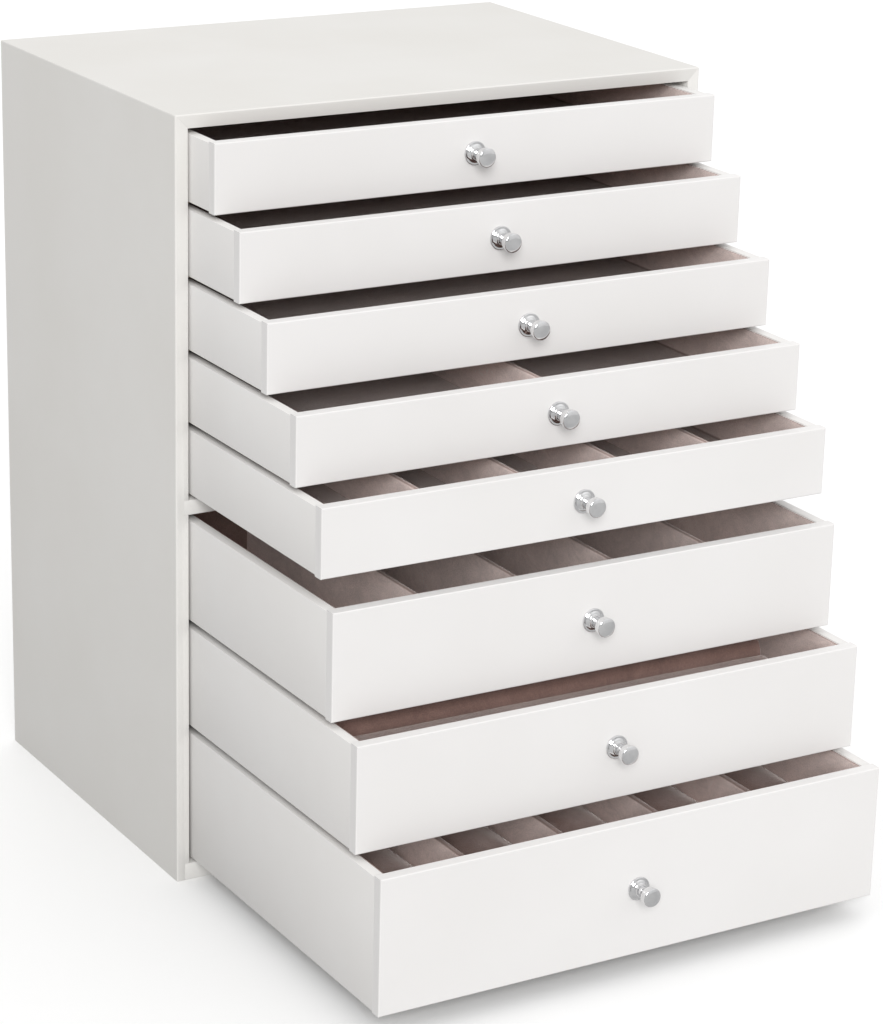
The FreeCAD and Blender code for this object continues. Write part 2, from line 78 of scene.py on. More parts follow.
class Graph:
    """A node tree that is written one node at a time."""

    def __init__(self, tree: bpy.types.NodeTree) -> None:
        """Starts on an empty tree.

        Args:
            tree: the tree of a material, a group or the world.
        """
        self.tree = tree
        tree.nodes.clear()

    def link(self, output: bpy.types.NodeSocket, socket: bpy.types.NodeSocket) -> None:
        """Joins an output to an input."""
        self.tree.links.new(output, socket)

    def fill(self, made: bpy.types.Node, values: dict) -> bpy.types.Node:
        """Sets a node's inputs.

        Args:
            made: the node.
            values: a number, a colour or another node's output for each input, by name or index.

        Returns:
            The same node.
        """
        for key, value in values.items():
            socket = made.inputs[key]
            if isinstance(value, bpy.types.NodeSocket):
                self.link(value, socket)
            else:
                socket.default_value = value
        return made

    def node(self, kind: str, values: Optional[dict] = None, **settings: object) -> bpy.types.Node:
        """Adds a node.

        Args:
            kind: the node's type, without the ShaderNode in front.
            values: what its inputs hold, as in fill.
            settings: properties of the node, such as operation.

        Returns:
            The new node.
        """
        name = kind if kind.startswith("Node") else f"ShaderNode{kind}"
        made = self.tree.nodes.new(name)
        for key, value in settings.items():
            setattr(made, key, value)
        return self.fill(made, values or {})

    def group(self, shared: bpy.types.NodeTree, values: dict) -> bpy.types.Node:
        """Places a shared effect.

        Args:
            shared: the effect's tree.
            values: the values that are this material's own.

        Returns:
            The group node.
        """
        made = self.tree.nodes.new("ShaderNodeGroup")
        made.node_tree = shared
        return self.fill(made, values)

    def ramp(self, factor: bpy.types.NodeSocket, stops: Sequence[tuple]) -> bpy.types.NodeSocket:
        """Adds a colour ramp.

        Args:
            factor: what drives it.
            stops: (place, colour) pairs in rising order.

        Returns:
            The ramp's colour.
        """
        made = self.node("ValToRGB", {0: factor})
        elements = made.color_ramp.elements
        while len(elements) < len(stops):
            elements.new(0.5)
        for element, (place, colour) in zip(elements, stops):
            element.position = place
            element.color = (*colour, 1)
        return made.outputs["Color"]

    def clouds(self, place: object, scale: object, detail: float) -> bpy.types.Node:
        """Adds a noise and returns its node."""
        return self.node("TexNoise", {"Vector": place, "Scale": scale, "Detail": detail})

    def remap(self, value: object, old: Span, new: Span = (0.0, 1.0)) -> bpy.types.NodeSocket:
        """Carries a value from one span to another, held at both ends.

        Args:
            value: the value.
            old: the span that it comes from.
            new: the span that it goes to.

        Returns:
            The new value.
        """
        values = {0: value, 1: old[0], 2: old[1], 3: new[0], 4: new[1]}
        return self.node("MapRange", values).outputs[0]

    def math(self, operation: str, first: object, second: object = 0.0) -> bpy.types.NodeSocket:
        """Adds one sum of two values and returns its output."""
        return self.node("Math", {0: first, 1: second}, operation=operation).outputs[0]

    def vector(self, operation: str, *terms: object) -> bpy.types.Node:
        """Adds one sum of vectors and returns its node."""
        return self.node("VectorMath", dict(enumerate(terms)), operation=operation)

    def blend(self, factor: object, first: object, second: object) -> bpy.types.NodeSocket:
        """Mixes two colours by a factor and returns the colour."""
        return self.node("Mix", {0: factor, 6: first, 7: second}, data_type="RGBA").outputs[2]


def shader_group(
    name: str,
    inputs: Sequence[tuple],
    outputs: Sequence[str],
    write: Callable[[Graph, bpy.types.NodeOutputs, bpy.types.NodeInputs], None],
) -> bpy.types.NodeTree:
    """Makes a shared effect once.

    Args:
        name: the group's name.
        inputs: (name, socket kind, default) of each input.
        outputs: the name of each output, all of them plain values.
        write: writes the nodes, given the graph and the inner input and output sockets.

    Returns:
        The group's tree.
    """
    if name in bpy.data.node_groups:
        return bpy.data.node_groups[name]
    tree = bpy.data.node_groups.new(name, "ShaderNodeTree")
    for label, kind, default in inputs:
        socket = tree.interface.new_socket(label, in_out="INPUT", socket_type=f"NodeSocket{kind}")
        if default is not None:
            socket.default_value = default
    for label in outputs:
        tree.interface.new_socket(label, in_out="OUTPUT", socket_type="NodeSocketFloat")
    graph = Graph(tree)
    write(graph, graph.node("NodeGroupInput").outputs, graph.node("NodeGroupOutput").inputs)
    return tree


def orange_peel() -> bpy.types.NodeTree:
    """The faint ripple of a sprayed coat, and the slow drift of its tone.

    Returns:
        The effect's tree, with a height and a tone.
    """

    def write(graph: Graph, given: bpy.types.NodeOutputs, out: bpy.types.NodeInputs) -> None:
        """Two ripples for the height and one slow cloud for the tone.

        Args:
            graph: the group's nodes.
            given: the group's inputs, seen from inside.
            out: the group's outputs, seen from inside.
        """
        ripple = graph.clouds(given["Place"], given["Ripple"], 2.0).outputs["Fac"]
        fine = graph.clouds(given["Place"], given["Grain"], 3.0).outputs["Fac"]
        cloud = graph.clouds(given["Place"], given["Cloud"], 3.0).outputs["Fac"]
        faint = graph.math("MULTIPLY", fine, 0.35)
        graph.link(graph.math("ADD", ripple, faint), out["Height"])
        graph.link(cloud, out["Tone"])

    inputs = (
        ("Place", "Vector", None),
        ("Ripple", "Float", 700.0),
        ("Grain", "Float", 3000.0),
        ("Cloud", "Float", 9.0),
    )
    return shader_group("orange_peel", inputs, ("Height", "Tone"), write)


def pressed_fibre() -> bpy.types.NodeTree:
    """Short fibres drawn out along one axis, as in planed wood or hardboard.

    Returns:
        The effect's tree, with a fibre and a broader band.
    """

    def write(graph: Graph, given: bpy.types.NodeOutputs, out: bpy.types.NodeInputs) -> None:
        """A noise squeezed along the grain, and its streaks.

        Args:
            graph: the group's nodes.
            given: the group's inputs, seen from inside.
            out: the group's outputs, seen from inside.
        """
        drawn = graph.node("Mapping", {"Vector": given["Place"], "Scale": given["Stretch"]}).outputs[0]
        graph.link(graph.clouds(drawn, given["Fineness"], 6.0).outputs["Fac"], out["Fibre"])
        graph.link(graph.clouds(drawn, given["Bands"], 2.0).outputs["Fac"], out["Band"])

    inputs = (
        ("Place", "Vector", None),
        ("Stretch", "Vector", (1.0, 0.08, 1.0)),
        ("Fineness", "Float", 1600.0),
        ("Bands", "Float", 160.0),
    )
    return shader_group("pressed_fibre", inputs, ("Fibre", "Band"), write)


def brushed_nap() -> bpy.types.NodeTree:
    """How a short pile lies: long strokes brushed one way or the other, and its fine tufts.

    Returns:
        The effect's tree, with the lie of the strokes and the tufts.
    """

    def write(graph: Graph, given: bpy.types.NodeOutputs, out: bpy.types.NodeInputs) -> None:
        """Warped strokes for the lie, two fine noises for the tufts.

        Args:
            graph: the group's nodes.
            given: the group's inputs, seen from inside.
            out: the group's outputs, seen from inside.
        """
        place = given["Place"]
        drift = graph.clouds(place, given["Patches"], 2.0).outputs["Color"]
        warped = graph.vector("MULTIPLY_ADD", drift, (0.05, 0.05, 0.05), place).outputs[0]
        drawn = graph.node("Mapping", {"Vector": warped, "Scale": given["Strokes"]}).outputs[0]
        broad = graph.clouds(drawn, given["Patches"], 3.0).outputs["Fac"]
        narrow = graph.clouds(drawn, given["Lines"], 3.0).outputs["Fac"]
        lie = graph.node("Mix", {0: 0.35, 2: broad, 3: narrow}, data_type="FLOAT").outputs[0]
        tuft = graph.clouds(place, given["Tufts"], 4.0).outputs["Fac"]
        point = graph.node("TexVoronoi", {"Vector": place, "Scale": given["Tufts"]}).outputs["Distance"]
        graph.link(lie, out["Lie"])
        graph.link(graph.math("ADD", tuft, point), out["Tuft"])

    inputs = (
        ("Place", "Vector", None),
        ("Strokes", "Vector", (1.0, 0.4, 1.0)),
        ("Patches", "Float", 26.0),
        ("Lines", "Float", 240.0),
        ("Tufts", "Float", 1500.0),
    )
    return shader_group("brushed_nap", inputs, ("Lie", "Tuft"), write)


@dataclass(frozen=True)
class Finish:
    """What every finish of the cabinet has in common."""

    name: str
    slot: Slot

    def material(self) -> bpy.types.Material:
        """Makes the material once.

        Returns:
            The material.
        """
        if self.name in bpy.data.materials:
            return bpy.data.materials[self.name]
        made = bpy.data.materials.new(self.name)
        made.use_nodes = True
        graph = Graph(made.node_tree)
        surface = graph.node("BsdfPrincipled")
        graph.link(surface.outputs[0], graph.node("OutputMaterial").inputs["Surface"])
        self.dress(graph, surface, graph.node("TexCoord").outputs["Object"])
        return made

    def dress(self, graph: Graph, surface: bpy.types.Node, place: bpy.types.NodeSocket) -> None:
        """Sets the shader's sockets. Each finish does its own.

        Args:
            graph: the material's nodes.
            surface: the Principled shader.
            place: Object coordinates.
        """
        raise NotImplementedError


def uneven_gloss(graph: Graph, surface: bpy.types.Node, drift: object, roughness: float, swing: Span) -> None:
    """Lets the roughness of a surface swing a little with a noise.

    Args:
        graph: the material's nodes.
        surface: the Principled shader.
        drift: the noise.
        roughness: the roughness without the swing.
        swing: what is added to it at the noise's low and high end.
    """
    gloss = graph.remap(drift, NOISE_SPAN, (roughness + swing[0], roughness + swing[1]))
    graph.link(gloss, surface.inputs["Roughness"])


def bump(graph: Graph, surface: bpy.types.Node, height: bpy.types.NodeSocket, depth: float) -> None:
    """Lets a height roughen a surface.

    Args:
        graph: the material's nodes.
        surface: the Principled shader.
        height: the height, from 0 to about 1.
        depth: how deep a height of 1 is, in metres.
    """
    made = graph.node("Bump", {"Height": height, "Distance": depth, "Strength": 1.0})
    graph.link(made.outputs["Normal"], surface.inputs["Normal"])


@dataclass(frozen=True)
class Lacquer(Finish):
    """Satin lacquer, sprayed over smooth board."""

    slot: Slot = Slot.LACQUER
    light: Colour = (0.786, 0.773, 0.764)
    dark: Colour = (0.769, 0.755, 0.744)
    drift: Span = (0.35, 0.65)
    roughness: float = 0.42
    swing: Span = (-0.04, 0.05)
    gloss: float = 0.35
    ripple_deep: float = 0.000012

    def dress(self, graph: Graph, surface: bpy.types.Node, place: bpy.types.NodeSocket) -> None:
        """A tone that drifts a little, uneven gloss and an orange peel.

        Args:
            graph: the material's nodes.
            surface: the Principled shader.
            place: Object coordinates.
        """
        coat = graph.group(orange_peel(), {"Place": place}).outputs
        tone = graph.ramp(coat["Tone"], tuple(zip(self.drift, (self.dark, self.light))))
        graph.link(tone, surface.inputs["Base Color"])
        uneven_gloss(graph, surface, coat["Tone"], self.roughness, self.swing)
        surface.inputs["Specular IOR Level"].default_value = self.gloss
        bump(graph, surface, coat["Height"], self.ripple_deep)


@dataclass(frozen=True)
class Fibreboard(Finish):
    """Board or planed wood whose fibres show through a thin finish."""

    slot: Slot = Slot.BOARD
    light: Colour = (0.80, 0.785, 0.76)
    dark: Colour = (0.72, 0.70, 0.67)
    streaks: Span = (0.15, 0.38)
    stretch: Triple = (1.0, 0.08, 1.0)
    fineness: float = 1600.0
    bands: float = 160.0
    roughness: float = 0.6
    swing: Span = (-0.08, 0.08)
    grain_deep: float = 0.00004

    def dress(self, graph: Graph, surface: bpy.types.Node, place: bpy.types.NodeSocket) -> None:
        """Streaks along the grain in tone, gloss and height.

        Args:
            graph: the material's nodes.
            surface: the Principled shader.
            place: Object coordinates.
        """
        values = {"Place": place, "Stretch": self.stretch, "Fineness": self.fineness, "Bands": self.bands}
        grain = graph.group(pressed_fibre(), values).outputs
        streak = graph.math("MULTIPLY", grain["Fibre"], grain["Band"])
        tone = graph.ramp(streak, tuple(zip(self.streaks, (self.dark, self.light))))
        graph.link(tone, surface.inputs["Base Color"])
        uneven_gloss(graph, surface, grain["Fibre"], self.roughness, self.swing)
        bump(graph, surface, grain["Fibre"], self.grain_deep)


@dataclass(frozen=True)
class Velvet(Finish):
    """Brown short-pile velvet, with a painted sheen at a grazing look and painted light on side faces."""

    slot: Slot = Slot.VELVET
    deep: Colour = (0.28, 0.192, 0.168)
    # Painted sheen: a paler tone blended in as the pile is seen at a grazing look.
    painted_sheen_tone: Colour = (0.34, 0.242, 0.218)
    # Painted light: a much paler tone laid on faces turned to left or right.
    painted_side_light: Colour = (0.90, 0.755, 0.71)
    painted_sheen_span: Span = (0.16, 0.52)
    painted_side_span: Span = (0.55, 0.95)
    lie_span: Span = (0.36, 0.64)
    lie_shade: Span = (0.87, 1.13)
    tuft_span: Span = (0.4, 1.3)
    tuft_shade: Span = (0.8, 1.1)
    roughness: float = 0.95
    gloss: float = 0.2
    sheen: float = 0.8
    sheen_tint: tuple[float, ...] = (0.97, 0.90, 0.87, 1.0)
    sheen_rough: float = 0.35
    patches: float = 26.0
    tuft_deep: float = 0.0002

    def dress(self, graph: Graph, surface: bpy.types.Node, place: bpy.types.NodeSocket) -> None:
        """A painted sheen at a grazing look, painted light on faces turned to the side, strokes, tufts and a
        sheen.

        Args:
            graph: the material's nodes.
            surface: the Principled shader.
            place: Object coordinates.
        """
        nap = graph.group(brushed_nap(), {"Place": place, "Patches": self.patches}).outputs
        # Painted sheen: the face-on tone pales towards a grazing look.
        facing = graph.node("LayerWeight", {"Blend": 0.5}).outputs["Facing"]
        painted_sheen = graph.remap(facing, self.painted_sheen_span)
        with_painted_sheen = graph.blend(painted_sheen, (*self.deep, 1), (*self.painted_sheen_tone, 1))
        # Painted light: faces turned to left or right, by the normal's X, take a much paler tone.
        turned = graph.node("SeparateXYZ", {0: graph.node("NewGeometry").outputs["Normal"]})
        side_lit = graph.remap(graph.math("ABSOLUTE", turned.outputs["X"]), self.painted_side_span)
        tone = graph.blend(side_lit, with_painted_sheen, (*self.painted_side_light, 1))
        lie = graph.remap(nap["Lie"], self.lie_span, self.lie_shade)
        tuft = graph.remap(nap["Tuft"], self.tuft_span, self.tuft_shade)
        shaded = graph.vector("MULTIPLY", tone, graph.math("MULTIPLY", lie, tuft))
        graph.link(shaded.outputs[0], surface.inputs["Base Color"])
        surface.inputs["Roughness"].default_value = self.roughness
        surface.inputs["Specular IOR Level"].default_value = self.gloss
        surface.inputs["Sheen Weight"].default_value = self.sheen
        surface.inputs["Sheen Roughness"].default_value = self.sheen_rough
        surface.inputs["Sheen Tint"].default_value = self.sheen_tint
        bump(graph, surface, nap["Tuft"], self.tuft_deep)


@dataclass(frozen=True)
class Chrome(Finish):
    """Polished chrome with the finest of wipe marks."""

    slot: Slot = Slot.CHROME
    light: Colour = (0.82, 0.82, 0.825)
    dark: Colour = (0.70, 0.70, 0.708)
    drift: Span = (0.35, 0.65)
    roughness: float = 0.06
    swing: Span = (-0.02, 0.05)
    ripple: float = 900.0
    cloud: float = 120.0
    wipe_deep: float = 0.000002

    def dress(self, graph: Graph, surface: bpy.types.Node, place: bpy.types.NodeSocket) -> None:
        """Metal whose gloss is a little uneven.

        Args:
            graph: the material's nodes.
            surface: the Principled shader.
            place: Object coordinates.
        """
        values = {"Place": place, "Ripple": self.ripple, "Cloud": self.cloud}
        coat = graph.group(orange_peel(), values).outputs
        tone = graph.ramp(coat["Tone"], tuple(zip(self.drift, (self.dark, self.light))))
        graph.link(tone, surface.inputs["Base Color"])
        surface.inputs["Metallic"].default_value = 1.0
        uneven_gloss(graph, surface, coat["Tone"], self.roughness, self.swing)
        bump(graph, surface, coat["Height"], self.wipe_deep)


LACQUER = Lacquer("satin_white_lacquer")
CASE_LACQUER = Lacquer(
    "case_lacquer",
    light=(0.750, 0.738, 0.715),
    dark=(0.732, 0.718, 0.691),
    gloss=0.0,
)
WALL_LACQUER = Lacquer(
    "drawer_wall_lacquer",
    light=(0.765, 0.752, 0.738),
    dark=(0.745, 0.73, 0.713),
    roughness=0.5,
)
HARDBOARD = Fibreboard("white_hardboard")
BACK_BOARD = Fibreboard(
    "back_hardboard",
    dark=(0.755, 0.738, 0.71),
    stretch=(1.0, 1.0, 0.1),
    bands=120.0,
)
RUNNER_WOOD = Fibreboard(
    "waxed_runner_wood",
    slot=Slot.RUNNER,
    light=(0.74, 0.66, 0.54),
    dark=(0.60, 0.50, 0.38),
    fineness=900.0,
    bands=90.0,
    roughness=0.5,
)
VELVET = Velvet("taupe_velvet")
# The rolls' velvet: darker face-on than the lining's, a painted shade.
SHADED_ROLL_VELVET = Velvet("roll_velvet_painted_shade", deep=(0.24, 0.152, 0.13), patches=34.0)
CHROME = Chrome("polished_chrome")


def new_piece(name: str, mesh: bmesh.types.BMesh, finish: Finish, body: str) -> bpy.types.Object:
    """Turns a finished bmesh into a piece that rides on a body.

    Args:
        name: the piece's name.
        mesh: its shape, in metres, where it stands.
        finish: its finish.
        body: the body that carries it.

    Returns:
        The new object.
    """
    data = bpy.data.meshes.new(name)
    mesh.to_mesh(data)
    mesh.free()
    piece = bpy.data.objects.new(name, data)
    bpy.context.scene.collection.objects.link(piece)
    data.materials.append(finish.material())
    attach(piece, body)
    log.info("%s: %d faces on %s", name, len(data.polygons), body)
    return piece


def shade(piece: bpy.types.Object, angle: float = 40.0) -> None:
    """Smooths a piece's shading.

    Args:
        piece: the piece.
        angle: the steepest edge that is still smoothed, in degrees.
    """
    piece.data.polygons.foreach_set("use_smooth", [True] * len(piece.data.polygons))
    piece.data.set_sharp_from_angle(angle=math.radians(angle))


def box_mesh(low: Vector, high: Vector) -> bmesh.types.BMesh:
    """A box between two corners.

    Args:
        low: its lowest corner.
        high: its highest corner.

    Returns:
        The bmesh.
    """
    mesh = bmesh.new()
    spread = Matrix.Translation((low + high) / 2) @ Matrix.Diagonal((*(high - low), 1))
    bmesh.ops.create_cube(mesh, size=1, matrix=spread)
    return mesh


def welded(name: str) -> bmesh.types.BMesh:
    """Copies a node of the frame and joins its loose triangles.

    Args:
        name: the node's name.

    Returns:
        The bmesh.
    """
    mesh = bmesh.new()
    mesh.from_mesh(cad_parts[name].data)
    bmesh.ops.remove_doubles(mesh, verts=mesh.verts, dist=MERGE_WITHIN)
    return mesh


def flat_faced(name: str) -> bmesh.types.BMesh:
    """Copies a node of the frame and joins its triangles into whole flat faces.

    Args:
        name: the node's name.

    Returns:
        The bmesh.
    """
    mesh = welded(name)
    bmesh.ops.dissolve_limit(
        mesh,
        angle_limit=FLAT_ANGLE,
        verts=mesh.verts,
        edges=mesh.edges,
        use_dissolve_boundaries=False,
    )
    return mesh


def sharp(edges: Iterable[bmesh.types.BMEdge]) -> list[bmesh.types.BMEdge]:
    """Those of some edges at which two faces meet at a steep angle."""
    return [edge for edge in edges if edge.calc_face_angle(0) > SHARP_ANGLE]


def reach(edge: bmesh.types.BMEdge, axis: int) -> float:
    """How far an edge runs along an axis, in metres."""
    return abs(edge.verts[0].co[axis] - edge.verts[1].co[axis])


def soften(
    mesh: bmesh.types.BMesh, edges: Iterable[bmesh.types.BMEdge], width: float, segments: int = 3
) -> None:
    """Rounds edges of a bmesh.

    Args:
        mesh: the bmesh.
        edges: the edges to round.
        width: the rounding's width in metres.
        segments: how many faces make the rounding.
    """
    bmesh.ops.bevel(
        mesh,
        geom=list(edges),
        offset=width,
        offset_type="OFFSET",
        affect="EDGES",
        segments=segments,
        profile=0.5,
        material=-1,
        clamp_overlap=True,
    )


def bake_modifiers(piece: bpy.types.Object) -> None:
    """Applies every modifier of a piece to its mesh.

    Args:
        piece: the piece.
    """
    graph = bpy.context.evaluated_depsgraph_get()
    data = bpy.data.meshes.new_from_object(piece.evaluated_get(graph))
    piece.modifiers.clear()
    old = piece.data
    piece.data = data
    bpy.data.meshes.remove(old)
    data.name = piece.name


def corners(points: Sequence[Vector]) -> tuple[Vector, Vector]:
    """Finds the box round some points.

    Args:
        points: the points.

    Returns:
        Its lowest and its highest corner.
    """
    low = Vector(min(point[axis] for point in points) for axis in range(3))
    high = Vector(max(point[axis] for point in points) for axis in range(3))
    return low, high


def fit_between(piece: bpy.types.Object, low: Vector, high: Vector) -> None:
    """Scales a piece's mesh to fill the box between two corners.

    Args:
        piece: the piece.
        low: the box's lowest corner.
        high: the box's highest corner.
    """
    least, most = corners([vertex.co for vertex in piece.data.vertices])
    for vertex in piece.data.vertices:
        for axis in range(3):
            share = (vertex.co[axis] - least[axis]) / (most[axis] - least[axis])
            vertex.co[axis] = low[axis] + share * (high[axis] - low[axis])
    piece.data.update()


def islands(node: str) -> list[tuple[Vector, Vector]]:
    """The boxes of a node's separate solids.

    Args:
        node: the node's name.

    Returns:
        (lowest corner, highest corner) of each solid, from the front backwards and left to right.
    """
    mesh = welded(node)
    seen = set()
    found = []
    for start in mesh.verts:
        if start in seen:
            continue
        waiting = [start]
        seen.add(start)
        group = []
        while waiting:
            vertex = waiting.pop()
            group.append(vertex.co.copy())
            for edge in vertex.link_edges:
                other = edge.other_vert(vertex)
                if other not in seen:
                    seen.add(other)
                    waiting.append(other)
        found.append(corners(group))
    mesh.free()
    return sorted(found, key=lambda pair: (round(pair[0].y, 3), pair[0].x))


def eased_copy(name: str, finish: Finish, width: float, body: str) -> None:
    """Replaces a node of the frame by the same shape with its sharp edges eased.

    Args:
        name: the node's name.
        finish: the finish.
        width: how far an edge is rounded, in metres.
        body: the body that carries it.
    """
    mesh = flat_faced(name)
    soften(mesh, sharp(mesh.edges), width, 2)
    piece = new_piece(f"{name}_eased", mesh, finish, body)
    shade(piece, 50)
    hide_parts(name)


def dress_node(name: str, finish: Finish) -> None:
    """Gives a piece of the frame its finish.

    Args:
        name: the node's name.
        finish: its finish.
    """
    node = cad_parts[name]
    node.data.materials.clear()
    node.data.materials.append(finish.material())
    log.info("%s: the frame's own mesh in %s", name, finish.name)


@dataclass
class Case:
    """The white case: boards, back panel and runner strips."""

    body: str = "case"
    boards: tuple[str, ...] = ("left_side", "right_side", "top_panel", "bottom_panel", "middle_shelf")
    board_ease: float = 0.18 * MM
    panel_ease: float = 0.5 * MM
    runner_ease: float = 0.3 * MM

    def build(self) -> None:
        """Dresses the boards, the back and the runners."""
        for name in self.boards:
            eased_copy(name, CASE_LACQUER, self.board_ease, self.body)
        eased_copy("back_panel", BACK_BOARD, self.panel_ease, self.body)
        eased_copy("drawer_runners", RUNNER_WOOD, self.runner_ease, self.body)


@dataclass
class Knob:
    """A turned chrome knob and the screw that holds it. Radii, and distances from the drawer's front."""

    number: int
    length: float = 17.8 * MM
    flange: float = 8.0 * MM
    flange_high: float = 1.5 * MM
    rim: float = 0.7 * MM
    rim_chamfer: float = 0.3
    ledge: float = 1.6 * MM
    ledge_foot: float = 1.9 * MM
    ledge_high: float = 0.25 * MM
    fillet: float = 1.9 * MM
    fillet_start: float = 4.2 * MM
    neck: float = 3.7 * MM
    flare_start: float = 7.7 * MM
    flare_long: float = 4.5 * MM
    flare_end: float = 6.0 * MM
    button: float = 6.4 * MM
    button_start: float = 13.3 * MM
    button_end: float = 16.0 * MM
    corner: float = 0.9 * MM
    dome_inset: float = 1.125 * MM
    dome_high: float = 0.8 * MM
    bore: float = 2.05 * MM
    bore_deep: float = 10.2 * MM
    facets: int = 72
    arc_steps: int = 6
    screw_in_mm: tuple[Span, ...] = (
        (0.0, 9.2),
        (1.5, 9.2),
        (1.95, 8.7),
        (1.95, -5.0),
        (3.9, -5.0),
        (4.0, -5.1),
        (4.0, -6.2),
        (3.3, -7.1),
        (1.6, -7.4),
        (0.0, -7.4),
    )

    def arc(self, centre: Span, radius: float, start: float, end: float) -> list[Span]:
        """Points of a round stretch of the section.

        Args:
            centre: (radius, distance) of the arc's centre.
            radius: its own radius.
            start: its first angle in degrees, 0 pointing outwards.
            end: its last angle.

        Returns:
            The points.
        """
        found = []
        for step in range(self.arc_steps + 1):
            angle = math.radians(start + (end - start) * step / self.arc_steps)
            found.append((centre[0] + radius * math.cos(angle), centre[1] + radius * math.sin(angle)))
        return found

    def flare(self) -> list[Span]:
        """The neck's swelling into the back of the button.

        Returns:
            Points of the section.
        """
        steps = 2 * self.arc_steps
        found = [(self.neck, self.flare_start)]
        for share in (step / steps for step in range(1, steps)):
            swell = (1 - math.cos(share * math.pi)) / 2
            across = self.neck + (self.flare_end - self.neck) * swell
            found.append((across, self.flare_start + self.flare_long * share))
        return found

    def dome(self) -> list[Span]:
        """The low dome of the button's face, up to the axis.

        Returns:
            Points of the section.
        """
        edge = self.button - self.dome_inset
        found = []
        for step in range(1, self.arc_steps + 1):
            angle = math.pi / 2 * step / self.arc_steps
            rise = self.dome_high * math.sin(angle)
            found.append((edge * math.cos(angle), self.button_end + self.corner + rise))
        found[-1] = (0.0, found[-1][1])
        return found

    def section(self) -> list[Span]:
        """The knob's half section.

        Returns:
            Its points as (radius, distance), from the bore to the tip.
        """
        side = self.button - self.corner
        return [
            (0.0, self.bore_deep),
            (self.bore, self.bore_deep),
            (self.bore, 0.0),
            (self.flange - self.rim * self.rim_chamfer, 0.0),
            (self.flange, self.rim * self.rim_chamfer),
            *self.arc((self.flange - self.rim, self.flange_high - self.rim), self.rim, 0, 90),
            (self.flange - self.ledge, self.flange_high),
            (self.flange - self.ledge_foot, self.flange_high + self.ledge_high),
            *self.arc((self.neck + self.fillet, self.fillet_start), self.fillet, 260, 180),
            *self.flare(),
            *self.arc((side, self.button_start + self.corner), self.corner, 310, 360),
            *self.arc((side, self.button_end), self.corner, 0, 70),
            *self.dome(),
        ]

    def screw_section(self) -> list[Span]:
        """The screw's half section, from its tip to the back of its head."""
        return [(radius * MM, along * MM) for radius, along in self.screw_in_mm]

    def spun(self, points: Sequence[Span], place: Vector) -> bmesh.types.BMesh:
        """Spins a section about the knob's axis.

        Args:
            points: (radius, distance out of the front).
            place: where the axis meets the front.

        Returns:
            The closed bmesh.
        """
        mesh = bmesh.new()
        rail = [mesh.verts.new(place + Vector((radius, -along, 0))) for radius, along in points]
        edges = [mesh.edges.new(pair) for pair in zip(rail, rail[1:])]
        bmesh.ops.spin(
            mesh,
            geom=rail + edges,
            cent=place,
            axis=(0, 1, 0),
            angle=math.tau,
            steps=self.facets,
            use_merge=True,
        )
        bmesh.ops.remove_doubles(mesh, verts=mesh.verts, dist=SPIN_MERGE)
        bmesh.ops.recalc_face_normals(mesh, faces=mesh.faces)
        return mesh

    def build(self) -> None:
        """Makes the knob and its screw and lets both stand for the node."""
        body = f"drawer_{self.number}"
        node = f"{body}_knob"
        low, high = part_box(node)
        place = Vector(((low.x + high.x) / 2, low.y + self.length, (low.z + high.z) / 2))
        for part, points in (("turned_knob", self.section()), ("knob_screw", self.screw_section())):
            piece = new_piece(f"{body}_{part}", self.spun(points, place), CHROME, body)
            shade(piece, 35)
            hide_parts(node)


